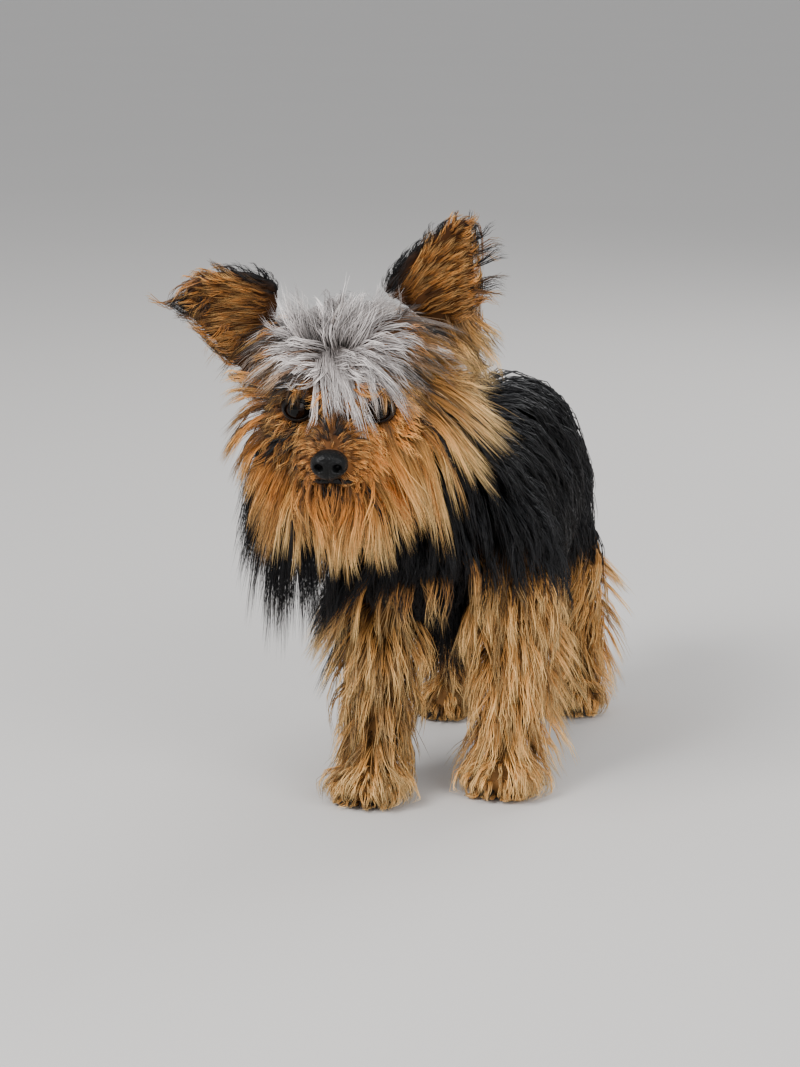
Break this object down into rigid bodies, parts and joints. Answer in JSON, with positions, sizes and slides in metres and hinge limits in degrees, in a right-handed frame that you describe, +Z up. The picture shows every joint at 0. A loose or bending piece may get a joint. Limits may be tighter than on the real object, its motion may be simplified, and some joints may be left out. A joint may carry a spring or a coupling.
{
  "type": "yorkshire terrier",
  "caption": "Small long-coated terrier dog standing on its paws, head turned to its left, one ear up and one out to the side; a still life-size model.",
  "frame": {"origin": "on the floor under the middle of the whole dog's box", "axes": "+Z up, -Y the way the dog's body faces, +X to the dog's left"},
  "size_m": [0.17, 0.325, 0.2867],
  "materials": {
    "coat_steel": "long silky hair, blue-black",
    "coat_tan": "long silky hair, rich tan",
    "coat_gold": "long silky hair, golden tan with pale tips",
    "coat_silver": "long silky hair, silver grey",
    "nose_leather": "moist, pebbled, black",
    "eye_dark": "wet and glossy, very dark brown",
    "pad_leather": "matt, pebbled, black",
    "claw_horn": "satin horn, black"
  },
  "bodies": {
    "root": {"head": "coat_silver", "muzzle": "coat_tan", "beard": "coat_tan", "ear_left": "coat_tan", "ear_right": "coat_tan", "eye_left": "eye_dark", "eye_right": "eye_dark", "nose": "nose_leather", "neck": "coat_steel", "chest": "coat_steel", "belly": "coat_steel", "rump": "coat_steel", "tail": "coat_steel", "upper_arm_left": "coat_gold", "upper_arm_right": "coat_gold", "foreleg_left": "coat_gold", "foreleg_right": "coat_gold", "thigh_left": "coat_steel", "thigh_right": "coat_steel", "shank_left": "coat_gold", "shank_right": "coat_gold", "paw_front_left": "coat_gold", "paw_front_right": "coat_gold", "paw_hind_left": "coat_gold", "paw_hind_right": "coat_gold", "pad_front_left": "pad_leather", "pad_front_right": "pad_leather", "pad_hind_left": "pad_leather", "pad_hind_right": "pad_leather", "claw_front_left_1": "claw_horn", "claw_front_left_2": "claw_horn", "claw_front_left_3": "claw_horn", "claw_front_left_4": "claw_horn", "claw_front_right_1": "claw_horn", "claw_front_right_2": "claw_horn", "claw_front_right_3": "claw_horn", "claw_front_right_4": "claw_horn", "claw_hind_left_1": "claw_horn", "claw_hind_left_2": "claw_horn", "claw_hind_left_3": "claw_horn", "claw_hind_left_4": "claw_horn", "claw_hind_right_1": "claw_horn", "claw_hind_right_2": "claw_horn", "claw_hind_right_3": "claw_horn", "claw_hind_right_4": "claw_horn"}
  },
  "joints": []
}
